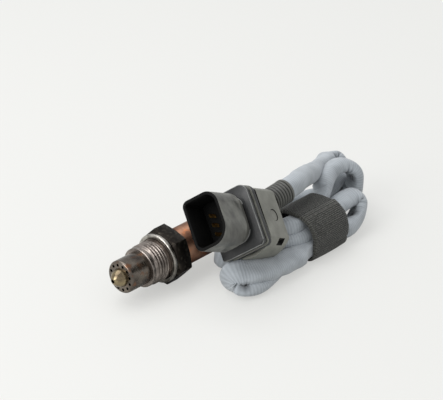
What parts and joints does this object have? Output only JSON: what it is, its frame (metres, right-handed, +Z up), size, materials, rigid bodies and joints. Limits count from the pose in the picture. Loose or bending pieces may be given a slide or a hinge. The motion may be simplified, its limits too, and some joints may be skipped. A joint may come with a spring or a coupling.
{
  "type": "oxygen sensor",
  "caption": "Threaded exhaust gas sensor with a vented nose, wrench hexagon and sleeve, its ribbed cable folded up in a fabric tie and ending in a slanted plug-in connector.",
  "frame": {"origin": "on the bench, straight under the middle of the sensor's length", "axes": "+X along the sensor from its vented tip to where the cable leaves, +Z up, +Y away from the folded cable"},
  "size_m": [0.1407, 0.0541, 0.0493],
  "materials": {
    "tinted_steel": "satin, lightly heat tinted",
    "dark_steel": "dark, satin",
    "gasket_steel": "satin",
    "ceramic": "matt, unglazed",
    "packed_talc": "matt, pressed powder",
    "spring_steel": "satin",
    "warm_steel": "satin, coppery heat tint",
    "wire_cover": "matt",
    "black_rubber": "matt",
    "black_plastic": "satin",
    "grey_plastic": "satin",
    "pin_brass": "satin",
    "chip_ceramic": "matt",
    "boot_rubber": "satin",
    "cable_cover": "matt, finely ribbed",
    "tie_fabric": "matt, coarse weave"
  },
  "bodies": {
    "root": {"outer_protection_tube": "tinted_steel", "inner_protection_tube": "tinted_steel", "sensor_shell": "dark_steel", "seal_ring": "gasket_steel", "sensing_element": "ceramic", "lower_insulator": "ceramic", "talc_seal": "packed_talc", "upper_insulator": "ceramic", "contact_holder_upper": "ceramic", "contact_holder_lower": "ceramic", "holder_clamp": "spring_steel", "contact_springs": "spring_steel", "sensor_wires": "wire_cover", "rear_sleeve": "warm_steel", "cable_grommet": "black_rubber", "connector_housing": "black_plastic", "connector_pins": "pin_brass", "terminal_lock": "black_plastic", "wire_seal": "black_rubber", "flange_seal": "black_rubber", "rear_cover": "grey_plastic", "trim_resistor": "chip_ceramic", "connector_wires": "wire_cover", "corrugated_boot": "boot_rubber", "cable_from_sensor": "cable_cover", "cable_to_connector": "cable_cover", "cable_hank": "cable_cover", "hook_and_loop_tie": "tie_fabric"}
  },
  "joints": []
}
